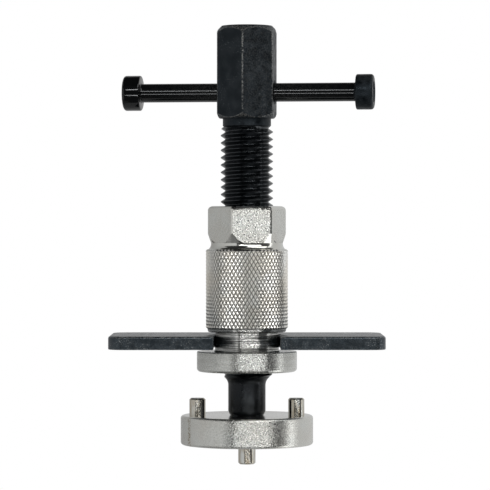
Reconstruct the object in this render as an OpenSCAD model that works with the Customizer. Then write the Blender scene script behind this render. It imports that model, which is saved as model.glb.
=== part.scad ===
// Screw tool that pushes a brake caliper piston back while it turns it.
// Millimetres, +Z up along the spindle. The origin is on the axis, at the adaptor disc's lower face,
// and -Y is the side where the reaction plate's slot opens.

/* [Adaptor disc] */
// Outside diameter
disc_d = 45; // [40:0.5:60]
// Thickness
disc_t = 10; // [8:0.5:16]
// Rounding of the rim's two edges
disc_edge_r = 1; // [0.2:0.1:1.5]

/* [Pins] */
// Diameter of the two upper pins
upper_pin_d = 5.5; // [4.6:0.1:7]
// Height of the upper pins above the disc
upper_pin_h = 5.8; // [3:0.1:8]
// Circle that the upper pins stand on
upper_pcd = 33.6; // [24:0.1:37]
// Diameter of the two lower pins
lower_pin_d = 5.8; // [4.6:0.1:7]
// Length of the lower pins below the disc
lower_pin_h = 5.5; // [3:0.1:10]
// Circle that the lower pins stand on
lower_pcd = 28; // [22:0.1:36]
// Chamfer on the free end of each pin
pin_chamfer = 0.5; // [0.2:0.1:1]
// Diameter of the spigot that is pressed into the disc
spigot_d = 4.4; // [3:0.1:4.5]
// Length of the spigot
spigot_h = 4.5; // [3:0.1:7]

/* [Spindle] */
// Diameter of the plain shank
shank_d = 12.7; // [12:0.1:15]
// Length of the shank, from the disc to the thread's taper
shank_h = 10.2; // [8:0.1:20]
// Diameter of the shank's foot, where it stands on the disc
foot_d = 11.7; // [11:0.1:12.6]
// Height of the taper at the foot
foot_h = 1.5; // [0.5:0.1:4]
// Height of the hollow taper from the shank to the thread
taper_h = 2.7; // [1.5:0.1:5]
// Diameter over the thread's crests
thread_d = 17.8; // [17:0.1:18.8]
// Length of the thread
thread_h = 85.4; // [60:0.1:140]
// Run-out at both ends of the thread
thread_runout = 1.2; // [0.3:0.1:1.4]
// Diameter of the neck under the head
neck_d = 16.4; // [14:0.1:17]
// Height of the neck
neck_h = 2.5; // [1:0.1:6]

/* [Hexagon head] */
// Width across flats
head_af = 19; // [19:0.1:24]
// Height
head_h = 31.4; // [24:0.1:50]
// Diameter of the flat on top, inside the chamfer
head_top_d = 17.2; // [14:0.1:18.8]
// Diameter of the flat underneath, inside the chamfer
head_under_d = 18.6; // [17.2:0.1:19]
// Height of the cross hole above the head's underside
cross_hole_h = 8.8; // [7:0.1:16]
// Turn of the head and the tommy bar about the spindle, as they stand at rest
head_turn = -8; // [-30:1:30]

/* [Square drive] */
// Side of the square
drive_side = 9.5; // [8.4:0.1:10]
// Distance from the drive's tip to the disc's lower face
drive_tip_gap = 1; // [0.5:0.1:3]
// Turned chamfer on the corners of its tip
drive_chamfer = 1.6; // [0.3:0.1:2]
// Diameter of the detent ball
ball_d = 3; // [2:0.1:4]
// Depth of the ball's pocket, from the flat
pocket_depth = 6; // [5.4:0.1:7]
// Wire of the detent spring
spring_wire = 0.4; // [0.3:0.05:0.5]
// Turns of the detent spring
spring_turns = 4.5; // [3:0.5:5]

/* [Tommy bar] */
// Diameter of the rod
bar_d = 6.35; // [4:0.05:8]
// Length of the rod between its caps
bar_span = 73.7; // [50:0.1:140]
// Where the middle of the bar stands at rest, from the spindle to the right
bar_rest = 0.5; // [-15:0.1:15]
// Diameter of a cap
cap_d = 12; // [10:0.1:18]
// Length of a cap
cap_h = 6; // [5:0.1:10]
// Rounding of a cap's outer edge
cap_edge_r = 1; // [0.3:0.1:2]
// Break on a cap's inner edge
cap_break = 0.3; // [0.1:0.1:0.8]
// How far the rod goes into a cap
cap_grip = 4.5; // [2:0.1:4.8]

/* [Thrust nut] */
// Gap from the disc up to the nut's flange, as it stands at rest
nut_gap = 14.8; // [7:0.1:40]
// Wall of the groove's core, round the bore
core_wall = 1.9; // [1:0.1:4]
// Step from the core out to the flange's rim
flange_step = 6.1; // [4:0.1:10]
// Height of the flange
flange_h = 6.9; // [4:0.1:10]
// Rounding of the flange's lower edge
flange_edge_r = 1.2; // [0.4:0.1:2]
// Step from the core out to the plain ring above the groove
ring_step = 2.55; // [1.5:0.05:3.5]
// Height of the ring
ring_h = 1.1; // [0.8:0.1:4]
// Draft of the ring, inward at its lower edge
ring_draft = 0.2; // [0:0.05:0.8]
// Step from the ring out to the knurl's crests
knurl_step = 0.55; // [0.2:0.05:1]
// Height of the knurled sleeve, with its end chamfers
knurl_h = 26.9; // [15:0.1:50]
// Chamfer on the sleeve's upper edge
knurl_break = 0.5; // [0.1:0.05:0.8]
// Depth from the knurl's crests in to the neck over it
neck_step = 1.8; // [1:0.1:2.4]
// Height of that hollow
flare_h = 2.2; // [1.5:0.1:4]
// Width across the nut's flats
nut_af = 23.4; // [22.8:0.1:27]
// Height of the nut's hexagon
nut_hex_h = 12.5; // [8:0.1:20]
// Height of the cone that cuts the hexagon's lower corners
corner_cone_h = 3.7; // [2:0.1:6]
// Diameter of the flat on top, inside the chamfer
nut_top_d = 22.6; // [20.4:0.1:23]
// Height of the top chamfer
nut_top_chamfer = 1.9; // [0.5:0.1:4]
// Turn of the nut's hexagon, as it stands at rest
nut_turn = 7.7; // [-30:0.1:30]
// Countersink at both mouths of the bore
bore_chamfer = 0.7; // [0.3:0.1:1]

/* [Reaction plate] */
// Length
plate_l = 93; // [70:0.5:140]
// Reach in front of the spindle
plate_front = 20; // [18:0.5:30]
// Reach behind the spindle
plate_rear = 20; // [18:0.5:30]
// Thickness
plate_t = 4.5; // [3:0.1:8]
// Radius of the outer corners
plate_corner_r = 5.5; // [2:0.1:6]
// Radius of the corners at the slot's mouth
mouth_r = 1.2; // [1:0.1:3]
// Rounding of the upper edges
plate_roll = 0.8; // [0.2:0.1:0.9]

/* [Clearances] */
// Round the thread, in the nut's bore
thread_clearance = 0.1; // [0.02:0.01:0.3]
// Round the groove's core, in the plate's slot
slot_clearance = 0.3; // [0.1:0.05:1]
// Height that the groove leaves over the plate's thickness
groove_play = 2.1; // [1.1:0.05:2.6]
// Gap from the plate's upper face to the ring over it, as it stands at rest
plate_top_gap = 0.9; // [0.1:0.05:1]
// Round the tommy bar, in the cross hole
bar_clearance = 0.3; // [0.1:0.05:0.6]
// Depth of the countersink at the cross hole's mouths
bar_mouth = 0.8; // [0.2:0.1:1.5]
// Each side of the square drive, in the disc's hole
drive_clearance = 0.1; // [0.05:0.01:0.3]
// From the ball's crown to the wall of the disc's hole
ball_gap = 0.02; // [0.01:0.01:0.04]
// Round the ball and its spring, in the pocket
pocket_clearance = 0.05; // [0.03:0.01:0.15]
// Round a pressed spigot or rod end, so that the solids stay apart
press_gap = 0.01; // [0.005:0.005:0.02]

/* [Hidden] */
$fn = 96;
arc_steps = 6;
overlap = 1;
spring_steps = 18;
black = [0.1, 0.11, 0.13];
nickel = [0.78, 0.77, 0.74];
steel = [0.6, 0.61, 0.62];

shank_z = disc_t;
taper_z = shank_z + shank_h;
thread_z = taper_z + taper_h;
neck_z = thread_z + thread_h;
head_z = neck_z + neck_h;
head_top_z = head_z + head_h;
cross_hole_z = head_z + cross_hole_h;
head_corner_r = head_af / sqrt(3);

bar_hole_d = bar_d + 2 * bar_clearance;
bar_mouth_d = bar_hole_d + 2 * bar_mouth;
cap_face = bar_span / 2;

drive_h = disc_t - drive_tip_gap;
ball_z = disc_t / 2;
ball_y = drive_side / 2 + drive_clearance - ball_gap - ball_d / 2;
pocket_d = ball_d + 2 * pocket_clearance;
pocket_end_y = drive_side / 2 - pocket_depth;
coil_r = (ball_d - spring_wire) / 2 - pocket_clearance;
ball_to_coil = sqrt(pow(ball_d / 2, 2) - pow(coil_r - spring_wire / 2, 2)) + pocket_clearance;
spring_h = ball_y - ball_to_coil - pocket_end_y;
spring_pitch = spring_h / spring_turns;

bore_r = thread_d / 2 + thread_clearance;
core_r = bore_r + core_wall;
flange_r = core_r + flange_step;
ring_r = core_r + ring_step;
knurl_r = ring_r + knurl_step;
nut_neck_r = knurl_r - neck_step;
flare_r = knurl_r - knurl_break;
flare_depth = flare_r - nut_neck_r;
groove_h = plate_t + groove_play;
flange_z = disc_t + nut_gap;
groove_z = flange_z + flange_h;
ring_z = groove_z + groove_h;
knurl_z = ring_z + ring_h;
flare_z = knurl_z + knurl_h;
nut_hex_z = flare_z + flare_h;
nut_top_z = nut_hex_z + nut_hex_h;
nut_corner_r = nut_af / sqrt(3);

plate_z = ring_z - plate_top_gap - plate_t;
slot_r = core_r + slot_clearance;
slot_rim_r = slot_r + mouth_r;

spindle();
detent_ball();
detent_spring();
tommy_bar();
tommy_bar_cap_left();
tommy_bar_cap_right();
thrust_nut();
reaction_plate();
adaptor_disc();
upper_pin_left();
upper_pin_right();
lower_pin_front();
lower_pin_rear();

// points of an arc, from angle a to angle b
function arc(x, y, r, a, b) =
    [for (i = [0:arc_steps]) let (t = a + (b - a) * i / arc_steps) [x + r * cos(t), y + r * sin(t)]];

module turned(profile) {
    rotate_extrude() polygon(profile);
}

// six-sided bar with flats at right angles to X
module hexagon(af, h) {
    rotate([0, 0, 30]) cylinder(r = af / sqrt(3), h = h, $fn = 6);
}

module square_bar(side, h) {
    translate([-side / 2, -side / 2, 0]) cube([side, side, h]);
}

// The hollow taper leaves the shank tangentially and meets the thread's root at an angle.
function taper_points() =
    let (rise = thread_d / 2 - thread_runout - shank_d / 2)
    let (sweep = 2 * atan(rise / taper_h))
    let (r = taper_h / sin(sweep))
    arc(shank_d / 2 + r, taper_z, r, 180, 180 - sweep);

module spindle_stem() {
    turned(concat(
        [[0, shank_z], [foot_d / 2, shank_z], [shank_d / 2, shank_z + foot_h]],
        taper_points(),
        [
            [thread_d / 2, thread_z + thread_runout],
            [thread_d / 2, neck_z - thread_runout],
            [neck_d / 2, neck_z],
            [neck_d / 2, head_z + overlap],
            [0, head_z + overlap]
        ]
    ));
}

module spindle_head() {
    top_chamfer = head_corner_r - head_top_d / 2;
    under_chamfer = head_corner_r - head_under_d / 2;
    rotate([0, 0, head_turn]) difference() {
        intersection() {
            translate([0, 0, head_z]) hexagon(head_af, head_h);
            turned([
                [0, head_z],
                [head_under_d / 2, head_z],
                [head_corner_r, head_z + under_chamfer],
                [head_corner_r, head_top_z - top_chamfer],
                [head_top_d / 2, head_top_z],
                [0, head_top_z]
            ]);
        }
        translate([0, 0, cross_hole_z]) cross_hole();
    }
}

module cross_hole() {
    rotate([0, 90, 0]) cylinder(d = bar_hole_d, h = head_af + 2 * overlap, center = true);
    for (side = [0, 180])
        rotate([0, 90, side]) translate([0, 0, head_af / 2 - bar_mouth])
            cylinder(d1 = bar_hole_d, d2 = bar_mouth_d + 2 * overlap, h = bar_mouth + overlap);
}

module spindle_drive() {
    corner_r = drive_side / sqrt(2);
    difference() {
        intersection() {
            translate([0, 0, drive_tip_gap]) square_bar(drive_side, drive_h + overlap);
            turned([
                [0, drive_tip_gap],
                [corner_r - drive_chamfer, drive_tip_gap],
                [corner_r, drive_tip_gap + drive_chamfer],
                [corner_r, disc_t + overlap],
                [0, disc_t + overlap]
            ]);
        }
        translate([0, pocket_end_y, ball_z]) rotate([-90, 0, 0]) cylinder(d = pocket_d, h = drive_side);
    }
}

module spindle() {
    color(black) union() {
        spindle_stem();
        spindle_head();
        spindle_drive();
    }
}

module detent_ball() {
    color(steel) translate([0, ball_y, ball_z]) sphere(d = ball_d);
}

// A level cut through a coil, swept up the pitch by the twist.
function coil_cut() =
    let (half = 360 * spring_wire / 2 / spring_pitch)
    let (width = function (t) spring_wire / 2 * sqrt(max(0, 1 - pow(t / half, 2))))
    let (ts = [for (i = [0:spring_steps / 2]) -half + 2 * half * i / (spring_steps / 2)])
    let (n = len(ts) - 1)
    concat(
        [for (t = ts) (coil_r + width(t)) * [cos(t), sin(t)]],
        [for (i = [1:n - 1]) (coil_r - width(ts[n - i])) * [cos(ts[n - i]), sin(ts[n - i])]]
    );

module detent_spring() {
    color(steel) translate([0, pocket_end_y, ball_z]) rotate([-90, 0, 0])
        linear_extrude(
            spring_h, twist = -360 * spring_turns, slices = spring_turns * spring_steps, $fn = spring_steps
        ) polygon(coil_cut());
}

// stands a piece along the bar, with the bar's middle at the origin
module along_bar() {
    translate([0, 0, cross_hole_z]) rotate([0, 0, head_turn]) rotate([0, 90, 0]) translate([0, 0, bar_rest])
        children();
}

module tommy_bar() {
    color(black) along_bar() cylinder(d = bar_d, h = bar_span + 2 * cap_grip, center = true);
}

module tommy_bar_cap() {
    bore_r = bar_d / 2 + press_gap;
    turned(concat(
        [
            [0, cap_face + cap_grip + press_gap],
            [bore_r, cap_face + cap_grip + press_gap],
            [bore_r, cap_face],
            [cap_d / 2 - cap_break, cap_face],
            [cap_d / 2, cap_face + cap_break]
        ],
        arc(cap_d / 2 - cap_edge_r, cap_face + cap_h - cap_edge_r, cap_edge_r, 0, 90),
        [[0, cap_face + cap_h]]
    ));
}

module tommy_bar_cap_left() {
    color(black) along_bar() rotate([180, 0, 0]) tommy_bar_cap();
}

module tommy_bar_cap_right() {
    color(black) along_bar() tommy_bar_cap();
}

// The hollow under the hexagon is a quarter arc, round on the neck's side.
module nut_sleeve() {
    turned(concat(
        [[0, flange_z]],
        arc(flange_r - flange_edge_r, flange_z + flange_edge_r, flange_edge_r, -90, 0),
        [
            [flange_r, groove_z],
            [core_r, groove_z],
            [core_r, ring_z],
            [ring_r - ring_draft, ring_z],
            [ring_r, knurl_z],
            [knurl_r, knurl_z + knurl_step],
            [knurl_r, flare_z - knurl_break]
        ],
        [for (p = arc(0, 0, 1, -90, -180)) [flare_r + flare_depth * p[0], nut_hex_z + flare_h * p[1]]],
        [[nut_neck_r, nut_hex_z + overlap], [0, nut_hex_z + overlap]]
    ));
}

module nut_hexagon() {
    intersection() {
        translate([0, 0, nut_hex_z]) rotate([0, 0, nut_turn + 30]) hexagon(nut_af, nut_hex_h);
        turned([
            [0, nut_hex_z],
            [nut_neck_r, nut_hex_z],
            [nut_corner_r, nut_hex_z + corner_cone_h],
            [nut_corner_r, nut_top_z - nut_top_chamfer],
            [nut_top_d / 2, nut_top_z],
            [0, nut_top_z]
        ]);
    }
}

module nut_bore() {
    wide_r = bore_r + bore_chamfer + overlap;
    turned([
        [0, flange_z - overlap],
        [wide_r, flange_z - overlap],
        [bore_r, flange_z + bore_chamfer],
        [bore_r, nut_top_z - bore_chamfer],
        [wide_r, nut_top_z + overlap],
        [0, nut_top_z + overlap]
    ]);
}

module thrust_nut() {
    color(nickel) difference() {
        union() {
            nut_sleeve();
            nut_hexagon();
        }
        nut_bore();
    }
}

// Section of the plate's edge: w deep, square below and rolled above.
module edge_section(w) {
    polygon(concat(
        [[0, 0], [w, 0]],
        arc(w - plate_roll, plate_t - plate_roll, plate_roll, 0, 90),
        [[0, plate_t]]
    ));
}

// Edge that runs l along X from the origin, with its outside at y = w.
module straight_edge(w, l) {
    rotate([90, 0, 90]) linear_extrude(l) edge_section(w);
}

// Quarter of a round corner with its centre at the origin, outside towards +X and +Y.
module corner_edge(r) {
    rotate_extrude(angle = 90) edge_section(r);
}

module slot_end() {
    rotate_extrude(angle = 180) translate([slot_rim_r, 0]) mirror([1, 0]) edge_section(mouth_r);
}

module plate_core(inner_x, inner_front, inner_rear) {
    difference() {
        translate([-inner_x, -inner_front, 0]) cube([2 * inner_x, inner_front + inner_rear, plate_t]);
        translate([0, 0, -overlap]) cylinder(r = slot_rim_r, h = plate_t + 2 * overlap);
        translate([-slot_rim_r, -inner_front - overlap, -overlap])
            cube([2 * slot_rim_r, inner_front + overlap, plate_t + 2 * overlap]);
    }
}

module plate_arm(inner_x, inner_front) {
    front_l = inner_x - slot_rim_r;
    translate([inner_x, -inner_front, 0]) rotate([0, 0, -90]) corner_edge(plate_corner_r);
    translate([inner_x, -inner_front, 0]) rotate([0, 0, 180]) straight_edge(plate_corner_r, front_l);
    translate([slot_rim_r, mouth_r - plate_front, 0]) rotate([0, 0, 180]) corner_edge(mouth_r);
    translate([slot_rim_r, mouth_r - plate_front, 0]) rotate([0, 0, 90])
        straight_edge(mouth_r, plate_front - mouth_r);
}

module reaction_plate() {
    inner_x = plate_l / 2 - plate_corner_r;
    inner_front = plate_front - plate_corner_r;
    inner_rear = plate_rear - plate_corner_r;
    color(black) translate([0, 0, plate_z]) union() {
        plate_core(inner_x, inner_front, inner_rear);
        slot_end();
        translate([-inner_x, inner_rear, 0]) straight_edge(plate_corner_r, 2 * inner_x);
        for (side = [0, 1]) mirror([side, 0, 0]) {
            plate_arm(inner_x, inner_front);
            translate([inner_x, inner_rear, 0]) corner_edge(plate_corner_r);
            translate([inner_x, inner_rear, 0]) rotate([0, 0, -90])
                straight_edge(plate_corner_r, inner_front + inner_rear);
        }
    }
}

module pin_hole() {
    translate([0, 0, -spigot_h - press_gap]) cylinder(r = spigot_d / 2 + press_gap, h = spigot_h + overlap);
}

// places its children on the four pins' seats, pointing out of the disc
module at_upper_pin(side) {
    translate([side * upper_pcd / 2, 0, disc_t]) children();
}

module at_lower_pin(side) {
    translate([0, side * lower_pcd / 2, 0]) rotate([180, 0, 0]) children();
}

module adaptor_disc() {
    r = disc_d / 2 - disc_edge_r;
    hole_side = drive_side + 2 * drive_clearance;
    color(nickel) difference() {
        turned(concat(
            [[0, 0]],
            arc(r, disc_edge_r, disc_edge_r, -90, 0),
            arc(r, disc_t - disc_edge_r, disc_edge_r, 0, 90),
            [[0, disc_t]]
        ));
        translate([0, 0, -overlap]) square_bar(hole_side, disc_t + 2 * overlap);
        for (side = [-1, 1]) {
            at_upper_pin(side) pin_hole();
            at_lower_pin(side) pin_hole();
        }
    }
}

module pin(d, h) {
    color(nickel) turned([
        [0, -spigot_h],
        [spigot_d / 2, -spigot_h],
        [spigot_d / 2, 0],
        [d / 2, 0],
        [d / 2, h - pin_chamfer],
        [d / 2 - pin_chamfer, h],
        [0, h]
    ]);
}

module upper_pin_left() {
    at_upper_pin(-1) pin(upper_pin_d, upper_pin_h);
}

module upper_pin_right() {
    at_upper_pin(1) pin(upper_pin_d, upper_pin_h);
}

module lower_pin_front() {
    at_lower_pin(-1) pin(lower_pin_d, lower_pin_h);
}

module lower_pin_rear() {
    at_lower_pin(1) pin(lower_pin_d, lower_pin_h);
}
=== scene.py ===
import math

import bmesh
import bpy
from mathutils import Matrix, Vector


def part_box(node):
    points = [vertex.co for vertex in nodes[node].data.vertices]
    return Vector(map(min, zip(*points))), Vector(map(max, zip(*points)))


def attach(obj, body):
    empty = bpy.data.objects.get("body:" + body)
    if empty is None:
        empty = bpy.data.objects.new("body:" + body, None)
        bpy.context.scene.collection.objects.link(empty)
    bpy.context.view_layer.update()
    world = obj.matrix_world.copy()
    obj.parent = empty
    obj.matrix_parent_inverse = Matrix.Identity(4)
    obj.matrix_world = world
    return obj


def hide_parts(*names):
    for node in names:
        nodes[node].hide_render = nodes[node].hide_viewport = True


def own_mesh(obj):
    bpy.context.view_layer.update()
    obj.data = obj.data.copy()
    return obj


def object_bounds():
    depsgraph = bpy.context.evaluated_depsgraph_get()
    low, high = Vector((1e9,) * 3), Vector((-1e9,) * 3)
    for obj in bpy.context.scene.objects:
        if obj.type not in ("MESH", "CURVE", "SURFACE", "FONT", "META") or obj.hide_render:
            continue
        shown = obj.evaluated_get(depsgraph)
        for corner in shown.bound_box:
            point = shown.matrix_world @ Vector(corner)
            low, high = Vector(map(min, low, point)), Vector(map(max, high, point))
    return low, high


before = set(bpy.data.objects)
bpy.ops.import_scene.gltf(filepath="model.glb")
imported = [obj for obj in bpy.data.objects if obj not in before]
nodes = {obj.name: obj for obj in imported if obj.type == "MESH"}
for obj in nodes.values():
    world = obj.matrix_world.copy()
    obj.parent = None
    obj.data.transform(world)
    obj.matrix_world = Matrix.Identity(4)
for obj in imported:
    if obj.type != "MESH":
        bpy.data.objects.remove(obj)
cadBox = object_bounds()
mm = 0.001
print("frame loaded:", len(nodes), "nodes")


def heightOf(node):
    low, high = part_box(node)
    return low.z / mm, high.z / mm


# finishes: satin nickel, bare steel and black oxide; sizes and depths in millimetres
nickelLook = {
    "colour": (0.7, 0.71, 0.68),
    "driftColour": (0.66, 0.65, 0.61),    # slow drift of the plating, or streaks when stretched
    "driftSize": 9.0,
    "driftStretch": (1, 1, 1),
    "roughLow": 0.24,
    "roughHigh": 0.31,
    "upright": 0.9,                       # how much more the finish scatters up and down than sideways
    "grainSize": 0.25,                    # sandy pits of the plating
    "grainStretch": (0.9, 0.9, 1),
    "grainDepth": 0.11,
    "topGrain": 0.3,                      # share of the grain and roughness on faces that look up
    "underGrain": 1.0,                    # share of the grain on faces that look down
    "chatterDepth": 0.0,                  # broken streaks round a turned piece
    "chatterArc": 1.2,                    # the smaller, the longer the streaks
}
discLook = dict(nickelLook, grainDepth=0.045, underGrain=2.6, roughLow=0.22, roughHigh=0.33)
turnedLook = dict(
    nickelLook, driftColour=(0.6, 0.6, 0.57), driftSize=0.4, driftStretch=(0.03, 0.03, 1),
    grainDepth=0.05, underGrain=2.3, grainStretch=(0.6, 0.6, 1), chatterDepth=0.05,
    roughLow=0.22, roughHigh=0.33,
)
coreLook = dict(
    turnedLook, colour=(0.95, 0.95, 0.92), driftColour=(0.2, 0.2, 0.19), roughLow=0.2, roughHigh=0.24,
    grainDepth=0.006, chatterDepth=0.05, chatterArc=0.4,
)
smoothLook = dict(nickelLook, roughLow=0.08, roughHigh=0.14, upright=0.0, grainDepth=0.008)
knurlLook = dict(
    smoothLook, colour=(0.95, 0.95, 0.92), driftColour=(0.9, 0.86, 0.78), roughLow=0.28, roughHigh=0.38,
)
pinLook = dict(
    nickelLook, driftColour=(0.5, 0.44, 0.34), driftSize=1.6, driftStretch=(1, 1, 0.3), grainDepth=0.014,
    roughLow=0.18, roughHigh=0.25,
)
steelLook = dict(smoothLook, colour=(0.55, 0.55, 0.54), driftColour=(0.5, 0.49, 0.47), grainDepth=0.004)
# colour mixed into the knurl's pits, darker towards each pit
pitColour = (0.07, 0.068, 0.062)
stain = {                                 # brown mark down the disc's side
    "colour": (0.3, 0.25, 0.17),
    "spot": (-19.4, -11.3, 0),
    "reach": 1.3,
    "flakeSize": 0.5,
}
blackLook = {
    "colour": (0.0012, 0.0017, 0.0022),
    "colourPale": (0.016, 0.0182, 0.02),  # cloudy patches
    "cloudSize": 3.5,
    "gloss": 0.3,                         # specular level
    "tint": (0.68, 0.85, 1.0),            # blue cast of the oxide
    "roughLow": 0.3,
    "roughHigh": 0.58,
    "grainSize": 0.4,
    "grainDepth": 0.008,
    "scuffColour": (0.09, 0.1, 0.105),
    "scuffSize": 0.35,
    "scuffShare": 0.62,                   # noise level above which a scuff shows
    "wornColour": (0.5, 0.5, 0.48),
    "speckSize": 0.42,                    # bright specks on worn edges
}
shankLook = dict(
    blackLook, colourPale=(0.003, 0.0034, 0.0038), tint=(0.86, 0.93, 1.0), gloss=0.3,
    roughLow=0.27, roughHigh=0.4,
)
threadLook = dict(shankLook, gloss=0.7, roughLow=0.12, roughHigh=0.22, grainDepth=0.006)
barLook = dict(
    shankLook, tint=(0.95, 0.98, 1.0), gloss=0.5, roughLow=0.06, roughHigh=0.11,
    grainDepth=0.0015, scuffShare=0.7,
)
plateLook = dict(
    blackLook, colour=(0.018, 0.023, 0.027), colourPale=(0.034, 0.041, 0.046), gloss=0.48, grainDepth=0.014,
    roughLow=0.2, roughHigh=0.32, scuffShare=0.59, scuffColour=(0.32, 0.33, 0.33),
)


def startMaterial(name):
    material = bpy.data.materials.new(name)
    material.use_nodes = True
    tree = material.node_tree
    return material, tree, tree.nodes["Principled BSDF"]


# position on the object in millimetres
def placeInMm(tree):
    place = tree.nodes.new("ShaderNodeTexCoord").outputs["Object"]
    scaled = tree.nodes.new("ShaderNodeVectorMath")
    scaled.operation = "SCALE"
    scaled.inputs["Scale"].default_value = 1 / mm
    tree.links.new(place, scaled.inputs[0])
    return scaled.outputs[0]


def noise(tree, size, detail=2.0, vector=None):
    texture = tree.nodes.new("ShaderNodeTexNoise")
    texture.inputs["Scale"].default_value = 1 / size
    texture.inputs["Detail"].default_value = detail
    tree.links.new(vector or placeInMm(tree), texture.inputs["Vector"])
    return texture.outputs["Fac"]


def remap(tree, value, low, high, toLow, toHigh):
    node = tree.nodes.new("ShaderNodeMapRange")
    node.inputs["From Min"].default_value = low
    node.inputs["From Max"].default_value = high
    node.inputs["To Min"].default_value = toLow
    node.inputs["To Max"].default_value = toHigh
    tree.links.new(value, node.inputs["Value"])
    return node.outputs["Result"]


def mixColour(tree, factor, first, second):
    node = tree.nodes.new("ShaderNodeMix")
    node.data_type = "RGBA"
    tree.links.new(factor, node.inputs["Factor"])
    for socket, value in ((node.inputs["A"], first), (node.inputs["B"], second)):
        if isinstance(value, tuple):
            socket.default_value = (*value, 1)
        else:
            tree.links.new(value, socket)
    return node.outputs["Result"]


def multiply(tree, first, second):
    node = tree.nodes.new("ShaderNodeMath")
    node.operation = "MULTIPLY"
    tree.links.new(first, node.inputs[0])
    tree.links.new(second, node.inputs[1])
    return node.outputs["Value"]


def attribute(tree, name):
    node = tree.nodes.new("ShaderNodeAttribute")
    node.attribute_name = name
    return node.outputs["Fac"]


def bump(tree, height, depth, normal=None):
    node = tree.nodes.new("ShaderNodeBump")
    node.inputs["Strength"].default_value = 1
    node.inputs["Distance"].default_value = depth * mm
    tree.links.new(height, node.inputs["Height"])
    if normal is not None:
        tree.links.new(normal, node.inputs["Normal"])
    return node.outputs["Normal"]


# position round the axis, so that marks run round a turned piece: arc, height, radius
def turnedPlace(tree, stretch):
    place = placeInMm(tree)
    split = tree.nodes.new("ShaderNodeSeparateXYZ")
    tree.links.new(place, split.inputs[0])
    flat = tree.nodes.new("ShaderNodeCombineXYZ")
    tree.links.new(split.outputs["X"], flat.inputs["X"])
    tree.links.new(split.outputs["Y"], flat.inputs["Y"])
    radius = tree.nodes.new("ShaderNodeVectorMath")
    radius.operation = "LENGTH"
    tree.links.new(flat.outputs[0], radius.inputs[0])
    angle = tree.nodes.new("ShaderNodeMath")
    angle.operation = "ARCTAN2"
    tree.links.new(split.outputs["X"], angle.inputs[0])
    tree.links.new(split.outputs["Y"], angle.inputs[1])
    arc = tree.nodes.new("ShaderNodeMath")
    arc.operation = "MULTIPLY"
    arc.inputs[1].default_value = stretch
    tree.links.new(angle.outputs[0], arc.inputs[0])
    join = tree.nodes.new("ShaderNodeCombineXYZ")
    tree.links.new(arc.outputs[0], join.inputs["X"])
    tree.links.new(split.outputs["Z"], join.inputs["Y"])
    tree.links.new(radius.outputs["Value"], join.inputs["Z"])
    return join.outputs[0]


def stretched(tree, shares):
    node = tree.nodes.new("ShaderNodeVectorMath")
    node.operation = "MULTIPLY"
    node.inputs[1].default_value = shares
    tree.links.new(placeInMm(tree), node.inputs[0])
    return node.outputs[0]


# 1 on walls, with a share of its own on faces that look up and on faces that look down
def byFacing(tree, upper, lower):
    split = tree.nodes.new("ShaderNodeSeparateXYZ")
    tree.links.new(tree.nodes.new("ShaderNodeTexCoord").outputs["Normal"], split.inputs[0])
    above = remap(tree, split.outputs["Z"], 0.5, 0.95, 1, upper)
    below = remap(tree, split.outputs["Z"], -0.95, -0.5, lower, 1)
    return multiply(tree, above, below)


def stained(tree, colour):
    away = tree.nodes.new("ShaderNodeVectorMath")
    away.operation = "DISTANCE"
    away.inputs[1].default_value = stain["spot"]
    tree.links.new(stretched(tree, (1, 1, 0)), away.inputs[0])
    near = remap(tree, away.outputs["Value"], stain["reach"] * 0.3, stain["reach"], 1, 0)
    flakes = remap(tree, noise(tree, stain["flakeSize"], 3), 0.46, 0.58, 0, 1)
    return mixColour(tree, multiply(tree, near, flakes), colour, stain["colour"])


def nickelMaterial(name, look, darkPits=False, marked=False):
    material, tree, shader = startMaterial(name)
    drift = noise(tree, look["driftSize"], 2, stretched(tree, look["driftStretch"]))
    drift = remap(tree, drift, 0.35, 0.65, 0, 1)
    colour = mixColour(tree, drift, look["colour"], look["driftColour"])
    rough = remap(tree, noise(tree, look["grainSize"] * 3), 0.3, 0.7, look["roughLow"], look["roughHigh"])
    # the knurl's pits are mixed darker, most at the bottom of each pit
    if darkPits:
        deep = remap(tree, attribute(tree, "darkPits"), 0.62, 1.0, 0, 1)
        colour = mixColour(tree, deep, colour, pitColour)
    if marked:
        colour = stained(tree, colour)
    tree.links.new(colour, shader.inputs["Base Color"])
    smoother = byFacing(tree, look["topGrain"], 1)
    tree.links.new(multiply(tree, rough, smoother), shader.inputs["Roughness"])
    shader.inputs["Metallic"].default_value = 1
    shader.inputs["Anisotropic"].default_value = look["upright"]
    shader.inputs["Anisotropic Rotation"].default_value = 0.25    # a quarter turn
    sandy = byFacing(tree, look["topGrain"], look["underGrain"])
    grain = multiply(tree, noise(tree, look["grainSize"], 1, stretched(tree, look["grainStretch"])), sandy)
    normal = bump(tree, grain, look["grainDepth"])
    if look["chatterDepth"]:
        chatter = noise(tree, look["grainSize"], 2, turnedPlace(tree, look["chatterArc"]))
        normal = bump(tree, chatter, look["chatterDepth"], normal)
    tree.links.new(normal, shader.inputs["Normal"])
    return material


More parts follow.
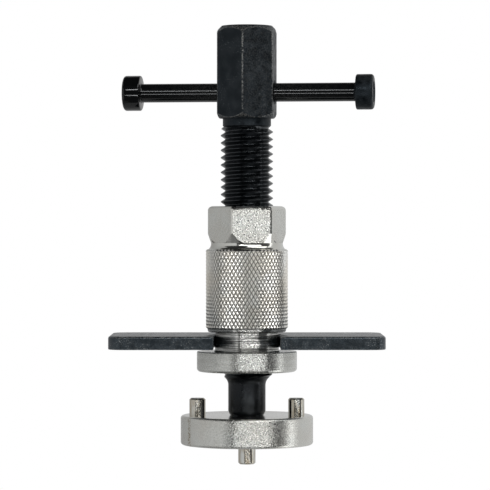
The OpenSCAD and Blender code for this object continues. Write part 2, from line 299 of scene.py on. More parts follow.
def blackMaterial(name, look):
    material, tree, shader = startMaterial(name)
    cloud = remap(tree, noise(tree, look["cloudSize"], 4), 0.4, 0.7, 0, 1)
    colour = mixColour(tree, cloud, look["colour"], look["colourPale"])
    share = look["scuffShare"]
    scuffs = remap(tree, noise(tree, look["scuffSize"], 3), share, share + 0.08, 0, 1)
    patches = remap(tree, noise(tree, look["cloudSize"] * 2, 2), 0.5, 0.62, 0, 1)
    colour = mixColour(tree, multiply(tree, scuffs, patches), colour, look["scuffColour"])
    specks = remap(tree, noise(tree, look["speckSize"], 2), 0.42, 0.62, 0, 1)
    worn = multiply(tree, attribute(tree, "wear"), specks)
    colour = mixColour(tree, worn, colour, look["wornColour"])
    tree.links.new(colour, shader.inputs["Base Color"])
    tree.links.new(worn, shader.inputs["Metallic"])
    uneven = noise(tree, look["cloudSize"] / 2, 5)
    rough = remap(tree, uneven, 0.35, 0.65, look["roughLow"], look["roughHigh"])
    tree.links.new(rough, shader.inputs["Roughness"])
    shader.inputs["Specular IOR Level"].default_value = look["gloss"]
    shader.inputs["Specular Tint"].default_value = (*look["tint"], 1)
    normal = bump(tree, noise(tree, look["grainSize"], 3), look["grainDepth"])
    tree.links.new(normal, shader.inputs["Normal"])
    return material


sandyNickel = nickelMaterial("sandyNickel", nickelLook)
discNickel = nickelMaterial("discNickel", discLook, marked=True)
turnedNickel = nickelMaterial("turnedNickel", turnedLook)
coreNickel = nickelMaterial("coreNickel", coreLook)
smoothNickel = nickelMaterial("smoothNickel", smoothLook)
knurlNickel = nickelMaterial("knurlNickel", knurlLook, darkPits=True)
pinNickel = nickelMaterial("pinNickel", pinLook)
blackOxide = blackMaterial("blackOxide", blackLook)
blackShank = blackMaterial("blackShank", shankLook)
blackThread = blackMaterial("blackThread", threadLook)
blackBar = blackMaterial("blackBar", barLook)
blackPlate = blackMaterial("blackPlate", plateLook)
bareSteel = nickelMaterial("bareSteel", steelLook)
print("finishes made")


def circleRow(columns, radius, height, turn=0.0):
    step = 2 * math.pi / columns
    return [
        (radius * math.cos(turn + i * step), radius * math.sin(turn + i * step), height)
        for i in range(columns)
    ]


# angles and radii round a bar with flat sides whose corners are turned off at a radius
def flatSided(sides, flats, corner, turn, shares):
    half = flats / 2
    reach = math.sqrt(corner * corner - half * half)
    ring = []
    for side in range(sides):
        middle = turn + side * 2 * math.pi / sides
        for share in shares:
            ring.append((middle + math.atan2(reach * share, half), math.hypot(half, reach * share)))
    return ring


def evenShares(count):
    return [2 * i / (count - 1) - 1 for i in range(count)]


def barRow(ring, heightAt):
    return [(r * math.cos(a), r * math.sin(a), heightAt(r)) for a, r in ring]


# rows of points joined into a skin; either a loop of rows or a form with two end caps
def skin(name, rows, bands=None, loop=False, knurlFrom=None, knurlTo=None):
    columns = len(rows[0])
    points = [Vector(p) * mm for row in rows for p in row]
    faces, looks = [], []
    count = len(rows)
    for j in range(count if loop else count - 1):
        low, high = j * columns, (j + 1) % count * columns
        look = bands[j] if bands else 0
        for i in range(columns):
            k = (i + 1) % columns
            a, b, c, d = low + i, low + k, high + k, high + i
            if knurlFrom is not None and knurlFrom <= j < knurlTo:
                peakFirst = (i + j - knurlFrom) % 2 == 0
                cells = ((a, b, d), (b, c, d)) if peakFirst else ((a, b, c), (a, c, d))
            else:
                cells = ((a, b, c, d),)
            faces += cells
            looks += [look] * len(cells)
    if not loop:
        faces.append(tuple(reversed(range(columns))))
        faces.append(tuple((count - 1) * columns + i for i in range(columns)))
        looks += [bands[0] if bands else 0, bands[-1] if bands else 0]
    mesh = bpy.data.meshes.new(name)
    mesh.from_pydata(points, [], faces)
    mesh.polygons.foreach_set("material_index", looks)
    mesh.update()
    return mesh


def place(name, mesh, materials, body, slot, node, sharp=28.0):
    mesh.polygons.foreach_set("use_smooth", [True] * len(mesh.polygons))
    mesh.set_sharp_from_angle(angle=math.radians(sharp))
    for material in materials:
        mesh.materials.append(material)
    piece = bpy.data.objects.new(name, mesh)
    bpy.context.scene.collection.objects.link(piece)
    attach(piece, body)
    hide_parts(node)
    return piece


def setAttribute(mesh, name, values):
    layer = mesh.attributes.new(name, "FLOAT", "POINT")
    layer.data.foreach_set("value", values)


def cutOut(mesh, cutterMesh):
    target = bpy.data.objects.new("target", mesh)
    cutter = bpy.data.objects.new("cutter", cutterMesh)
    for item in (target, cutter):
        bpy.context.scene.collection.objects.link(item)
    cut = target.modifiers.new("cut", "BOOLEAN")
    cut.operation = "DIFFERENCE"
    cut.solver = "EXACT"
    cut.object = cutter
    graph = bpy.context.evaluated_depsgraph_get()
    made = bpy.data.meshes.new_from_object(target.evaluated_get(graph))
    for item in (target, cutter):
        bpy.data.objects.remove(item)
    return made


def arcPoints(x, y, radius, start, end, steps):
    return [
        (
            x + radius * math.cos(math.radians(start + (end - start) * i / steps)),
            y + radius * math.sin(math.radians(start + (end - start) * i / steps)),
        )
        for i in range(steps + 1)
    ]


# spindle head, with the neck under it
spindleTop = heightOf("spindle")[1]
barLow, barHigh = heightOf("tommy_bar")
barHeight = (barLow + barHigh) / 2
head = {
    "flats": 19.0,
    "cornerRadius": 10.88,   # corners a little worn
    "height": 31.4,
    "topRadius": 8.6,
    "underRadius": 9.3,
    "turn": math.radians(-8),
    "neckRadius": 8.2,
    "neckHeight": 2.5,
    "holeRadius": 3.475,
    "holeMouth": 0.8,
    "edgeWear": 0.12,        # width of the worn line beside an edge
    "sideWear": (0.02, 0.03, 0.02, 0.03, 0.0, 0.045),
    "cornerWear": 0.25,      # at the bottom of a corner
    "cornerWearRise": 0.5,   # added towards the top
    "cornerFade": (1.0, 0.3),
    "rimWear": (0.45, 0.1),
}


# shares from 0 to 1 that close up at both ends, so wear stays in a narrow line
def edgeShares(length, steps):
    near = head["edgeWear"] / length
    inner = [near * 3 + (1 - near * 6) * i / steps for i in range(steps + 1)]
    return [0, near, *inner, 1 - near, 1]


def makeHead():
    low = spindleTop - head["height"]
    width = 2 * math.sqrt(head["cornerRadius"] ** 2 - head["flats"] ** 2 / 4)
    across, upward = edgeShares(width, 14), edgeShares(head["height"], 18)
    ring = flatSided(6, head["flats"], head["cornerRadius"], head["turn"], [2 * u - 1 for u in across])
    columns = len(ring)

    def level(radius, height):
        return barRow([(a, radius) for a, r in ring], lambda r: height)

    neck = head["neckRadius"]
    rows = [
        level(neck - 0.5, low - head["neckHeight"] - 0.5), level(neck, low - head["neckHeight"]),
        level(neck, low), level(head["underRadius"], low),
    ]
    wear = [0.0] * columns * 4
    lastColumn, lastRow = len(across) - 1, len(upward) - 1
    for j, share in enumerate(upward):
        rows.append(barRow(ring, lambda r: (
            low + r - head["underRadius"]
            + (head["height"] - 2 * r + head["underRadius"] + head["topRadius"]) * share
        )))
        for i in range(columns):
            side, column = divmod(i, len(across))
            off = min(column, lastColumn - column)
            rim = min(j, lastRow - j)
            worn = head["cornerWear"] + head["cornerWearRise"] * share
            corner = worn * head["cornerFade"][off] if off < 2 else 0.0
            edge = head["rimWear"][rim] if rim < 2 else 0.0
            wear.append(max(corner, edge, head["sideWear"][side]))
    rows.append(level(head["topRadius"], spindleTop))
    wear += [0.0] * columns
    mesh = skin("spindleHead", rows)
    setAttribute(mesh, "wear", wear)

    # cross hole with countersunk mouths
    hole, mouth, reach = head["holeRadius"], head["holeMouth"], head["flats"] / 2
    outline = [
        (hole + mouth + 1, -reach - 1), (hole, -reach + mouth),
        (hole, reach - mouth), (hole + mouth + 1, reach + 1),
    ]
    cutter = skin("crossHole", [circleRow(64, r, z) for r, z in outline])
    cutter.transform(alongBar(0))
    return cutOut(mesh, cutter)


# from a piece that stands on the origin to one that lies along the bar
def alongBar(shift):
    return (
        Matrix.Translation((0, 0, barHeight * mm))
        @ Matrix.Rotation(head["turn"], 4, "Z")
        @ Matrix.Rotation(math.pi / 2, 4, "Y")
        @ Matrix.Translation((0, 0, shift * mm))
    )


place("spindleHead", makeHead(), [blackOxide], "spindle", "black", "spindle")
print("head made")


# tommy bar: a rod with two pressed caps
bar = {
    "radius": 3.175,
    "span": 73.7,            # between the caps
    "rest": 0.5,             # middle of the bar, to the right of the spindle
    "grip": 4.5,
    "endBreak": 0.4,
    "columns": 72,
    "capRadius": 6.0,
    "capHeight": 6.0,
    "capRound": 1.0,
    "capInnerRound": 0.5,
    "fillet": 0.6,
    "dishRadius": 4.0,       # shallow hollow in a cap's end
    "dishDepth": 0.45,
    "pressGap": 0.01,
    # place along the rod and wear, where it slides through the head
    "rubbed": ((-30, 0.01), (-18, 0.03), (-10, 0.05), (10, 0.05), (18, 0.03), (30, 0.01)),
}


def makeRod():
    end, edge = bar["span"] / 2 + bar["grip"], bar["endBreak"]
    stations = [(-end + edge, 0), *bar["rubbed"], (end - edge, 0)]
    rows = [circleRow(bar["columns"], bar["radius"] - edge, -end)]
    rows += [circleRow(bar["columns"], bar["radius"], z) for z, wear in stations]
    rows.append(circleRow(bar["columns"], bar["radius"] - edge, end))
    mesh = skin("tommyRod", rows)
    wears = [0, *(wear for z, wear in stations), 0]
    setAttribute(mesh, "wear", [w for w in wears for i in range(bar["columns"])])
    mesh.transform(alongBar(bar["rest"]))
    return mesh


def makeCap(name, mirrored):
    face, end = bar["span"] / 2, bar["span"] / 2 + bar["capHeight"]
    hole, radius = bar["radius"] + bar["pressGap"], bar["capRadius"]
    fillet, inner, outer = bar["fillet"], bar["capInnerRound"], bar["capRound"]
    outline = [(hole, face + bar["grip"] + bar["pressGap"])]
    outline += arcPoints(hole + fillet, face - fillet, fillet, 180, 90, 6)
    outline += arcPoints(radius - inner, face + inner, inner, -90, 0, 6)
    outline += arcPoints(radius - outer, end - outer, outer, 0, 90, 8)
    outline += arcPoints(bar["dishRadius"], end - bar["dishDepth"], bar["dishDepth"], 90, 180, 4)
    mesh = skin(name, [circleRow(bar["columns"], r, z) for r, z in outline])
    turn = Matrix.Rotation(math.pi if mirrored else 0, 4, "X")
    mesh.transform(alongBar(bar["rest"]) @ turn)
    return mesh


place("tommyRod", makeRod(), [blackBar], "tommy_bar", "black", "tommy_bar")
place("leftCap", makeCap("leftCap", True), [blackBar], "tommy_bar", "black", "tommy_bar_cap_left")
place("rightCap", makeCap("rightCap", False), [blackOxide], "tommy_bar", "black", "tommy_bar_cap_right")
print("tommy bar made")


# thread, shank and square drive
thread = {
    "pitch": 2.5,
    "crestRadius": 8.9,
    "rootRadius": 7.42,
    "crestFlat": 0.14,      # share of the pitch
    "rootFlat": 0.16,
    "rootRound": (0.03, 0.12),
    "crestRound": 0.05,
    "low": 22.9,
    "high": 108.3,
    "runOut": 1.2,
    "endRadius": 7.7,
    "phase": 1.2,           # height of a crest over +X
    "steps": 96,
}


def makeThread():
    pitch, crest, root = thread["pitch"], thread["crestRadius"], thread["rootRadius"]
    low, high = thread["low"], thread["high"]
    half, bottom = thread["crestFlat"] / 2, thread["rootFlat"] / 2
    firstRise, rise = thread["rootRound"]
    drop = thread["crestRound"]
    # share of the pitch and radius, from one root to the next
    profile = [
        (-0.5, root), (-0.5 + bottom * 0.6, root + firstRise), (-0.5 + bottom, root + rise),
        (-half, crest - drop), (-half * 0.5, crest), (half * 0.5, crest), (half, crest - drop),
        (0.5 - bottom, root + rise), (0.5 - bottom * 0.6, root + firstRise),
    ]
    turns = range(int((low - 2 * pitch) // pitch), int((high + 2 * pitch) // pitch) + 1)
    steps = thread["steps"]
    bm = bmesh.new()
    lines = []
    for i in range(steps):
        angle = 2 * math.pi * i / steps
        line = []
        for turn in turns:
            for share, radius in profile:
                z = thread["phase"] + pitch * (turn + i / steps + share)
                line.append((z, radius, angle))
        lines.append(line)

    def clipped(z, radius, angle):
        z = min(max(z, low), high)
        ends = min(z - low, high - z)
        radius = min(radius, thread["endRadius"] + ends * (crest - thread["endRadius"]) / thread["runOut"])
        return Vector((radius * math.cos(angle), radius * math.sin(angle), z)) * mm

    grid = [[bm.verts.new(clipped(*p)) for p in line] for line in lines]
    rowLength = len(grid[0])
    shift = len(profile)    # one turn on, the lines meet a pitch higher
    for i in range(steps):
        here = grid[i]
        last = i == steps - 1
        nextLine = grid[0] if last else grid[i + 1]
        offset = shift if last else 0
        for j in range(rowLength - 1 - offset):
            bm.faces.new((here[j], nextLine[j + offset], nextLine[j + offset + 1], here[j + 1]))
    bmesh.ops.remove_doubles(bm, verts=bm.verts, dist=2e-6)
    bmesh.ops.dissolve_degenerate(bm, edges=bm.edges, dist=1e-6)
    loose = [v for v in bm.verts if not v.link_faces]
    bmesh.ops.delete(bm, geom=loose, context="VERTS")
    bmesh.ops.holes_fill(bm, edges=[e for e in bm.edges if e.is_boundary], sides=0)
    bmesh.ops.recalc_face_normals(bm, faces=bm.faces)
    mesh = bpy.data.meshes.new("spindleThread")
    bm.to_mesh(mesh)
    bm.free()
    return mesh


place("spindleThread", makeThread(), [blackThread], "spindle", "black", "spindle", sharp=24)
print("thread made")

shank = {
    "radius": 6.35,
    "footRadius": 5.85,
    "footHeight": 1.5,
    "low": 10.0,
    "taperLow": 20.2,
    "columns": 128,
    "driveFlats": 9.5,
    "driveCorner": 6.6,
    "driveLow": 1.0,
    "driveChamfer": 1.6,
    "driveOverlap": 0.4,     # how far it goes up into the shank
    "ballMiddle": 5.0,
    "pocketRadius": 1.55,
    "pocketEnd": -1.25,
}


def makeShank():
    top, topRadius = thread["low"], thread["endRadius"]
    rise = topRadius - shank["radius"]
    height = top - shank["taperLow"]
    sweep = 2 * math.atan(rise / height)
    bend = height / math.sin(sweep)
    taper = arcPoints(shank["radius"] + bend, shank["taperLow"], bend, 180, 180 - math.degrees(sweep), 10)
    outline = [
        (shank["footRadius"] - 0.3, shank["low"]),
        (shank["footRadius"], shank["low"] + 0.3),
        (shank["radius"], shank["low"] + shank["footHeight"]),
    ] + taper + [(topRadius - 0.8, top + 0.3)]
    return skin("spindleShank", [circleRow(shank["columns"], r, z) for r, z in outline])


def makeDrive():
    ring = flatSided(4, shank["driveFlats"], shank["driveCorner"], 0, evenShares(13))
    low, tip = shank["driveLow"], shank["driveFlats"] / math.sqrt(2) - shank["driveChamfer"]

    def tipHeight(r):
        return low + max(r - tip, 0)

    rows = [
        barRow([(a, min(r, tip)) for a, r in ring], lambda r: low),
        barRow(ring, lambda r: max(tipHeight(r), low + 0.01)),
        barRow(ring, lambda r: shank["low"] + shank["driveOverlap"]),
    ]
    mesh = skin("squareDrive", rows)
    pocket = skin("pocket", [circleRow(48, shank["pocketRadius"], z) for z in (0, shank["driveFlats"])])
    pocket.transform(
        Matrix.Translation((0, shank["pocketEnd"] * mm, shank["ballMiddle"] * mm))
        @ Matrix.Rotation(-math.pi / 2, 4, "X")
    )
    return cutOut(mesh, pocket)


place("spindleShank", makeShank(), [blackShank], "spindle", "black", "spindle")
place("squareDrive", makeDrive(), [blackShank], "spindle", "black", "spindle")
print("shank and drive made")


# round wire spring behind the detent ball, which presses it together in the real tool; here it keeps one
# length
springBox = [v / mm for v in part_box("detent_spring")]
spring = {
    "turns": 4.5,
    "wireRadius": 0.2,
    "stepsPerTurn": 24,
    "wirePoints": 10,
    "pressed": 0.4,          # how far the ball goes in
}


def makeSpring():
    wire, points = spring["wireRadius"], spring["wirePoints"]
    low, high = springBox[0].y + wire, springBox[1].y - wire
    radius, middle = springBox[1].x - wire, (springBox[0].z + springBox[1].z) / 2
    steps = int(spring["turns"] * spring["stepsPerTurn"])
    rows = []
    for i in range(steps + 1):
        turn = 2 * math.pi * spring["turns"] * i / steps
        along = low + (high - low) * i / steps
        row = []
        for out, rise, _ in circleRow(points, wire, 0):
            reach = radius + out
            row.append((reach * math.cos(turn), along + rise, middle + reach * math.sin(turn)))
        rows.append(row)
    return skin("detentSpring", rows)


springPiece = place("detentSpring", makeSpring(), [bareSteel], "spindle", "steel", "detent_spring")
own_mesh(springPiece)
print("spring made")


# thrust nut: flange, groove, ring, knurl, hollow and hexagon in one skin
nutLow, nutTop = heightOf("thrust_nut")
nut = {
    "perSide": 21,             # an even total of columns, so the knurl closes
    "turn": math.radians(7.7 - 90),
    "flats": 23.4,
    "cornerFlat": 0.7,         # width of the flat left on each corner
    "boreRadius": 9.0,
    "boreChamfer": 0.7,
    "flangeRadius": 17.0,
    "flangeHeight": 6.9,
    "flangeRound": 1.2,
    "edgeBreak": 0.25,
    "coreRadius": 10.9,
    "grooveHeight": 6.6,
    "ringRadius": 13.45,
    "ringDraft": 0.2,          # the ring narrows downwards
    "ringHeight": 1.1,
    "knurlRadius": 14.0,
    "knurlStep": 0.55,
    "knurlHeight": 26.9,
    "knurlBreak": 0.5,
    "knurlRows": 22,           # half diamonds up the sleeve
    "knurlDepth": 0.36,
    "knurlLand": 0.17,         # width of the flat left on each point
    "neckRadius": 12.2,
    "hollowHeight": 2.2,
    "coneHeight": 3.7,
    "topBevel": (1.3, 1.15),   # inward and downward, over the flats
    "cornerBevel": (0.5, 0.3),  # more of it at the corners
}
# finishes of the nut, in the order of its materials
turnedBand, knurlBand, hexBand, boreBand, smoothBand, coreBand = range(6)


# angles and radii round the hexagon, each corner a narrow flat
def cutHexagon():
    half, width, ring = nut["flats"] / 2, nut["cornerFlat"], []
    out = half / math.cos(math.pi / 6) - width / 2 * math.tan(math.pi / 6)
    across = [(out, width * (i / 6 - 0.5)) for i in range(7)]
    first, last = Vector(across[-1]), Matrix.Rotation(math.pi / 3, 2) @ Vector(across[0])
    flat = nut["perSide"] - len(across)
    side = across + [tuple(first.lerp(last, (i + 1) / (flat + 1))) for i in range(flat)]
    for k in range(6):
        turn = nut["turn"] - math.pi / 6 + k * math.pi / 3
        ring += [(turn + math.atan2(y, x), math.hypot(x, y)) for x, y in side]
    return ring


def makeNut():
    ring = cutHexagon()
    columns = len(ring)
    # even columns, in step with the corners
    start = nut["turn"] - math.pi / 6 - 3 * 2 * math.pi / columns
    rows, bands, darkPits = [], [], []

    def addCircle(radius, height, band):
        rows.append(circleRow(columns, radius, height, start))
        bands.append(band)
        darkPits.extend([0.0] * columns)

    def addBar(heightAt, band):
        rows.append(barRow(ring, heightAt))
        bands.append(band)
        darkPits.extend([0.0] * columns)

    flange, edge = nut["flangeRadius"], nut["edgeBreak"]
    grooveLow = nutLow + nut["flangeHeight"]
    ringLow = grooveLow + nut["grooveHeight"]
    knurlLow = ringLow + nut["ringHeight"]
    hollowLow = knurlLow + nut["knurlHeight"]
    hexLow = hollowLow + nut["hollowHeight"]

    addCircle(nut["boreRadius"], nutLow + nut["boreChamfer"], turnedBand)
    addCircle(nut["boreRadius"] + nut["boreChamfer"], nutLow, turnedBand)
    bend = nut["flangeRound"]
    for r, z in arcPoints(flange - bend, nutLow + bend, bend, -90, 0, 10):
        addCircle(r, z, turnedBand)
    addCircle(flange, nutLow + bend + 0.2, turnedBand)
    addCircle(flange, grooveLow - edge, turnedBand)
    addCircle(flange - edge, grooveLow, turnedBand)
    addCircle(nut["coreRadius"] + edge, grooveLow, turnedBand)
    addCircle(nut["coreRadius"], grooveLow + edge, coreBand)
    addCircle(nut["coreRadius"], ringLow, turnedBand)
    ringFoot = nut["ringRadius"] - nut["ringDraft"]
    addCircle(ringFoot - edge, ringLow, turnedBand)
    addCircle(ringFoot, ringLow + edge, coreBand)
    addCircle(nut["ringRadius"], knurlLow, turnedBand)

    # diamonds: points and pits take turns round and up the sleeve
    first = len(rows)
    sleeveLow = knurlLow + nut["knurlStep"]
    step = (hollowLow - nut["knurlBreak"] - sleeveLow) / nut["knurlRows"]
    for j in range(nut["knurlRows"] + 1):
        row = []
        for i, (x, y, z) in enumerate(circleRow(columns, 1.0, sleeveLow + j * step, start)):
            pit = (i + j) % 2 == 1
            r = nut["knurlRadius"] - (nut["knurlDepth"] if pit else 0)
            row.append((x * r, y * r, z))
            darkPits.append(1.0 if pit else 0.0)
        rows.append(row)
        bands.append(knurlBand)
    last = len(rows) - 1
    bands[-1] = smoothBand

    outer = nut["knurlRadius"] - nut["knurlBreak"]
    depth, rise = outer - nut["neckRadius"], nut["hollowHeight"]
    for x, y in arcPoints(0, 0, 1, -90, -180, 16):
        addCircle(outer + depth * x, hexLow + rise * y, smoothBand)

    # corners of the hexagon: cone below, rounded bevel above
    half, corner = nut["flats"] / 2, nut["flats"] / math.sqrt(3)
    slope = nut["coneHeight"] / (corner - nut["neckRadius"])
    addBar(lambda r: hexLow + 0.01 + max(r - nut["neckRadius"], 0) * slope, hexBand)
    inward, down = nut["topBevel"]
    moreIn, moreDown = nut["cornerBevel"]

    def addBevel(turn, lower):
        row = []
        for a, r in ring:
            share = (r - half) / (corner - half)
            reach = (inward + moreIn * share) * (1 - math.cos(turn))
            height = nutTop - (down + moreDown * share) * (1 - math.sin(turn)) - lower
            row.append(((r - reach) * math.cos(a), (r - reach) * math.sin(a), height))
        rows.append(row)
        bands.append(smoothBand)
        darkPits.extend([0.0] * columns)

    addBevel(0, 0.25)
    bands[-1] = hexBand
    for step in range(6):
        addBevel(step * math.pi / 10, 0)
    addCircle(nut["boreRadius"] + nut["boreChamfer"], nutTop, hexBand)
    addCircle(nut["boreRadius"], nutTop - nut["boreChamfer"], boreBand)

    mesh = skin("thrustNut", rows, bands, loop=True, knurlFrom=first, knurlTo=last)
    # marks the pits, which the knurl's finish mixes darker
    setAttribute(mesh, "darkPits", darkPits)
    return mesh, first * columns, last * columns


# the narrow flats on the hexagon's corners are rubbed smooth
def smoothCorners(mesh):
    for face in mesh.polygons:
        turn = (math.atan2(face.normal.y, face.normal.x) - nut["turn"]) / (math.pi / 3)
        atCorner = abs(turn % 1 - 0.5) < 0.2
        upright = abs(face.normal.z) < 0.5
        if face.material_index == hexBand and atCorner and upright:
            face.material_index = smoothBand


def flattenPoints(mesh, knurlFirst, knurlLast):
    columns = 6 * nut["perSide"]
    bm = bmesh.new()
    bm.from_mesh(mesh)
    bm.verts.ensure_lookup_table()
    tips = []
    for index in range(knurlFirst + columns, knurlLast):
        j, i = divmod(index - knurlFirst, columns)
        if (i + j) % 2 == 0:
            tips.append(bm.verts[index])
    bmesh.ops.bevel(
        bm, geom=tips, offset=nut["knurlLand"] * mm, offset_type="OFFSET", segments=1,
        affect="VERTICES", profile=0.5,
    )
    bm.to_mesh(mesh)
    bm.free()


nutMesh, knurlFirst, knurlLast = makeNut()
smoothCorners(nutMesh)
flattenPoints(nutMesh, knurlFirst, knurlLast)
place(
    "thrustNut", nutMesh, [turnedNickel, knurlNickel, sandyNickel, bareSteel, smoothNickel, coreNickel],
    "thrust_nut", "nickel", "thrust_nut", sharp=15,
)
print("thrust nut made")


# reaction plate with rolled upper edges
plateBox = [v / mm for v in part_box("reaction_plate")]
plate = {
    "corner": 5.5,
    "mouth": 1.2,
    "slotRadius": 11.2,
    "roll": 0.8,
    "lowerEdge": 0.25,
    "arcSteps": 10,
    # wear up the side, from the lower edge to the top
    "wear": (0.25, 0.45, 0.3, 0.12, 0.04, 0.02, 0.04, 0.12, 0.3, 0.3, 0.12, 0.05, 0.05),
}


def plateRow(inset, height):
    right, front, rear = plateBox[1].x, plateBox[0].y, plateBox[1].y
    corner, mouth, steps = plate["corner"], plate["mouth"], plate["arcSteps"]
    lip = plate["slotRadius"] + mouth
    turns = [                                             # centre, radius, from, to
        (lip, front + mouth, mouth - inset, 180, 270),
        (right - corner, front + corner, corner - inset, 270, 360),
        (right - corner, rear - corner, corner - inset, 0, 90),
        (corner - right, rear - corner, corner - inset, 90, 180),
        (corner - right, front + corner, corner - inset, 180, 270),
        (-lip, front + mouth, mouth - inset, 270, 360),
        (0, 0, plate["slotRadius"] + inset, 180, 90),
        (0, 0, plate["slotRadius"] + inset, 90, 0),
    ]
    return [(x, y, height) for turn in turns for x, y in arcPoints(*turn, steps)]


def makePlate():
    low, high = plateBox[0].z, plateBox[1].z
    edge, roll = plate["lowerEdge"], plate["roll"]
    # two rows that keep the side walls flat beside the rounds
    flat = [(0, low + edge + 0.1), (0, high - roll - 0.1)]
    section = arcPoints(edge, low + edge, edge, 270, 180, 3) + flat
    section += arcPoints(roll, high - roll, roll, 180, 90, 6)
    mesh = skin("reactionPlate", [plateRow(inset, z) for inset, z in section])
    columns = len(mesh.vertices) // len(section)
    setAttribute(mesh, "wear", [w for w in plate["wear"] for i in range(columns)])
    return mesh


place("reactionPlate", makePlate(), [blackPlate], "reaction_plate", "black", "reaction_plate")
print("plate made")


# solids that keep their own shape
finishOf = {
    "adaptor_disc": discNickel,
    "upper_pin_left": pinNickel,
    "upper_pin_right": pinNickel,
    "lower_pin_front": pinNickel,
    "lower_pin_rear": pinNickel,
    "detent_ball": bareSteel,
}
for name, material in finishOf.items():
    for holder in nodes[name].material_slots:
        holder.material = material
print("solids finished")


# studio: white room, pale floor, grey walls at the sides, a dark front with two light strips
studio = {
    "middle": 68.0,          # mm, height that the lights face
    "floorDrop": 1.2,        # m below the lowest pin
    "floorRadius": 0.6,
    "floorColour": (0.8, 0.8, 0.79),
    "floorRough": 0.9,
    "floorPoints": 128,
    "paperSize": 40.0,       # mm, faint clouds in the floor
    "roofHeight": 1.6,
    "roofRadius": 1.5,
    "roofPoints": 48,
    "roofGrey": 0.03,
    "cardSteps": 24,
}
# turn from the camera's side to the right in degrees, lowest and highest angle, distance, grey at both ends
cards = {
    "backLeftCard": (-180, -150, -68, 55, 1.5, 0.55, 0.36),
    "farLeftCard": (-150, -115, -68, 55, 1.5, 0.38, 0.46),
    "leftCard": (-115, -33, -32, 27, 1.5, 0.47, 0.7),
    "lowLeftCard": (-115, -33, -68, -32, 1.5, 0.2, 0.2),
    "sideLeftCard": (-115, -80, 27, 58, 1.5, 0.43, 0.5),
    "highLeftCard": (-80, -33, 27, 60, 1.5, 0.05, 0.05),
    "rightCard": (87, 150, -68, 58, 1.5, 0.63, 0.66),
    "backRightCard": (150, 180, -68, 58, 1.5, 0.66, 0.55),
    "windowCard": (80, 88, -50, 40, 1.45, 1.7, 1.7),
    "frontRightCard": (49, 80, -32, 40, 1.5, 0.08, 0.1),
    "frontCard": (-37, 88, -68, 60, 4.4, 0.06, 0.06),
}
# place in metres, width and height in metres, brightness
softboxes = {
    "upperStrip": ((0.57, -2.945, 1.424), 4.1, 0.22, 11.5),
    "lowerStrip": ((0.57, -2.945, -0.838), 4.1, 0.22, 7.8),
    "keySoftbox": ((0.64, -0.77, 1.07), 1.5, 0.5, 2.2),
    "lowReflector": ((0.228, -0.061, -0.117), 0.09, 0.12, 1.6),
}


# gives off the grey that the mesh's points carry
def emission(name):
    material = bpy.data.materials.new(name)
    material.use_nodes = True
    tree = material.node_tree
    tree.nodes.clear()
    glow = tree.nodes.new("ShaderNodeEmission")
    output = tree.nodes.new("ShaderNodeOutputMaterial")
    tree.links.new(attribute(tree, "grey"), glow.inputs["Strength"])
    tree.links.new(glow.outputs[0], output.inputs["Surface"])
    return material


cardGlow = emission("cardGlow")


def stageMesh(name, points, faces, material):
    mesh = bpy.data.meshes.new(name)
    mesh.from_pydata(points, [], faces)
    mesh.materials.append(material)
    piece = bpy.data.objects.new(name, mesh)
    bpy.context.scene.collection.objects.link(piece)
    return piece


def addCard(name, fromTurn, toTurn, fromHeight, toHeight, far, fromGrey, toGrey):
    middle, steps = studio["middle"] * mm, studio["cardSteps"]
    points, faces, greys = [], [], []
    for i in range(steps + 1):
        turn = math.radians(fromTurn + (toTurn - fromTurn) * i / steps)
        greys += [fromGrey + (toGrey - fromGrey) * i / steps] * 2
        for height in (fromHeight, toHeight):
            rise = far * math.tan(math.radians(height))
            points.append((far * math.sin(turn), -far * math.cos(turn), middle + rise))
        if i:
            k = 2 * i
            faces.append((k - 2, k, k + 1, k - 1))
    card = stageMesh(name, points, faces, cardGlow)
    setAttribute(card.data, "grey", greys)
    card.visible_camera = False


def addSoftbox(name, spot, width, tall, brightness):
    lamp = bpy.data.lights.new(name, "AREA")
    lamp.shape = "RECTANGLE"
    lamp.size, lamp.size_y = width, tall
    lamp.energy = brightness * math.pi * width * tall
    piece = bpy.data.objects.new(name, lamp)
    piece.location = spot
    away = Vector(spot) - Vector((0, 0, studio["middle"] * mm))
    piece.rotation_euler = away.to_track_quat("Z", "Y").to_euler()
    piece.visible_camera = False
    bpy.context.scene.collection.objects.link(piece)


def addRoof():
    count = studio["roofPoints"]
    points = circleRow(count, studio["roofRadius"], studio["roofHeight"], -math.pi / 2)
    roof = stageMesh("roofCard", points, [tuple(range(count))], cardGlow)
    setAttribute(roof.data, "grey", [studio["roofGrey"]] * count)
    roof.visible_camera = False


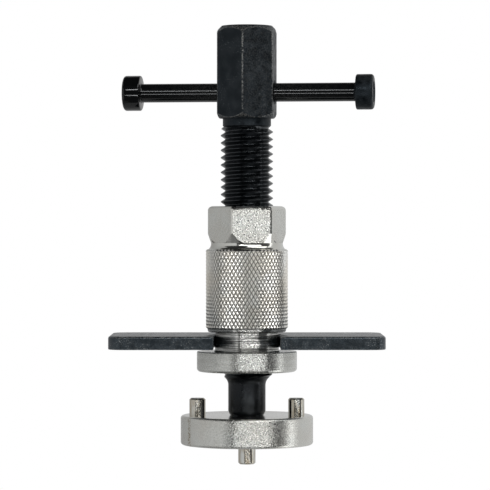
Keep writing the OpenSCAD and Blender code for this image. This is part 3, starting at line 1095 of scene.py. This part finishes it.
def addFloor():
    material, tree, shader = startMaterial("paleFloor")
    paper = remap(tree, noise(tree, studio["paperSize"]), 0.3, 0.7, 0, 1)
    tint = studio["floorColour"]
    colour = mixColour(tree, paper, tint, tuple(c * 0.98 for c in tint))
    tree.links.new(colour, shader.inputs["Base Color"])
    shader.inputs["Roughness"].default_value = studio["floorRough"]
    low = cadBox[0].z - studio["floorDrop"]
    count = studio["floorPoints"]
    points = circleRow(count, studio["floorRadius"], low)
    stageMesh("floor", points, [tuple(range(count))], material)


for name, values in cards.items():
    addCard(name, *values)
for name, values in softboxes.items():
    addSoftbox(name, *values)
addRoof()
addFloor()
world = bpy.data.worlds.new("whiteRoom")
world.use_nodes = True
world.node_tree.nodes["Background"].inputs["Color"].default_value = (1, 1, 1, 1)
world.node_tree.nodes["Background"].inputs["Strength"].default_value = 1
bpy.context.scene.world = world
bpy.context.scene.view_settings.view_transform = "Standard"
print("studio made")


# camera: long lens, almost level
view = {
    "imageSize": 490,        # pixels
    "sensorWidth": 36.0,     # mm
    "nearest": 0.05,         # m, what the camera can see
    "farthest": 20.0,
    "distance": 950.0,       # mm from the spindle
    "scale": 0.34,           # mm per pixel at the spindle
    "axisColumn": 246.9,     # pixel column of the spindle
    "discRow": 444.4,        # pixel row of the disc's lower face
    "horizonRow": 228.0,     # pixel row at the lens's own height
}


def addCamera():
    data = bpy.data.cameras.new("camera")
    data.sensor_width = view["sensorWidth"]
    data.lens = data.sensor_width * view["distance"] / view["scale"] / view["imageSize"]
    data.clip_start, data.clip_end = view["nearest"], view["farthest"]
    camera = bpy.data.objects.new("camera", data)
    centre = view["imageSize"] / 2
    across = (centre - view["axisColumn"]) * view["scale"] * mm
    aim = Vector((across, 0, (view["discRow"] - centre) * view["scale"] * mm))
    height = (view["discRow"] - view["horizonRow"]) * view["scale"] * mm
    camera.location = (across, -view["distance"] * mm, height)
    camera.rotation_euler = (aim - camera.location).to_track_quat("-Z", "Y").to_euler()
    bpy.context.scene.collection.objects.link(camera)
    bpy.context.scene.camera = camera


addCamera()
bpy.context.view_layer.update()
